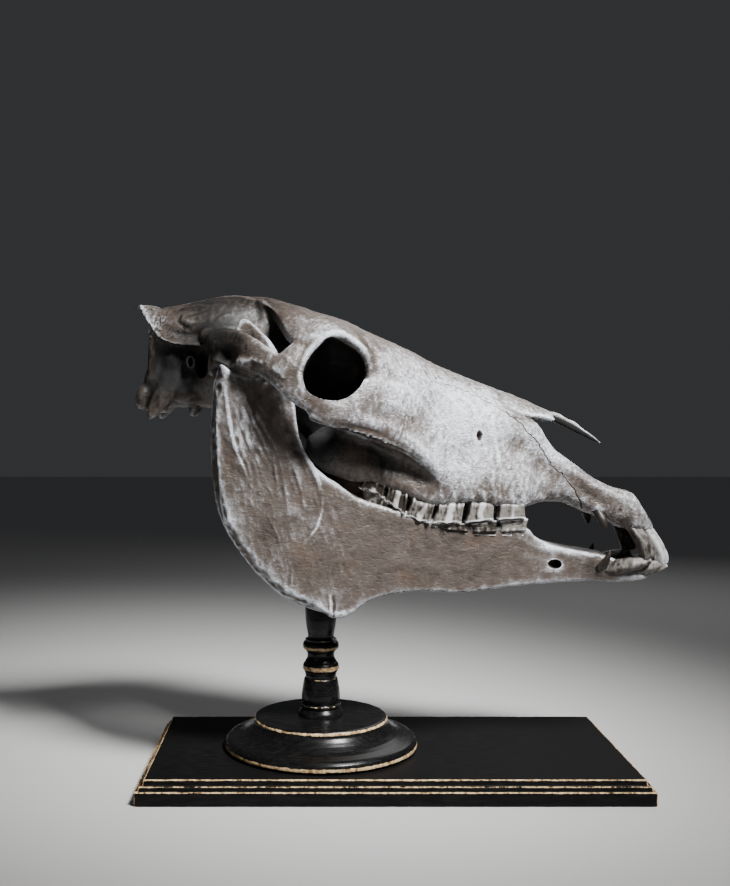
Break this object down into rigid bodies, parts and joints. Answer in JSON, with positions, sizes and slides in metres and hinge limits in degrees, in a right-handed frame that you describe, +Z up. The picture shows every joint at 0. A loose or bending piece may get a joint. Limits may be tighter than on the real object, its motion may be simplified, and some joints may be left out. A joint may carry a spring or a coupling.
{
  "type": "horse skull on a turned display stand",
  "caption": "Adult horse skull with closed jaw, held level on a turned post over a round foot and a moulded rectangular plinth.",
  "frame": {"origin": "middle of the plinth's underside", "axes": "+X from the nape towards the muzzle, +Y to the skull's left side, +Z up"},
  "size_m": [0.5379, 0.226, 0.4708],
  "materials": {
    "bone": "dry old bone, mottled grey-brown, burnished pale on ridges",
    "black_lacquer": "glossy black lacquer on wood, rubbed through to gold on the edges",
    "worn_black_wood": "satin black paint on wood, rubbed through to pale gold along the edges",
    "rod_steel": "dark steel"
  },
  "bodies": {
    "root": {"occipital": "bone", "braincase": "bone", "frontal": "bone", "lacrimal_right": "bone", "lacrimal_left": "bone", "zygomatic_arch_right": "bone", "zygomatic_arch_left": "bone", "maxilla_right": "bone", "maxilla_left": "bone", "nasal_right": "bone", "nasal_left": "bone", "incisive": "bone", "mandible": "bone", "stand_rod": "rod_steel", "stand_post": "black_lacquer", "stand_foot": "black_lacquer", "stand_plinth": "worn_black_wood"}
  },
  "joints": []
}
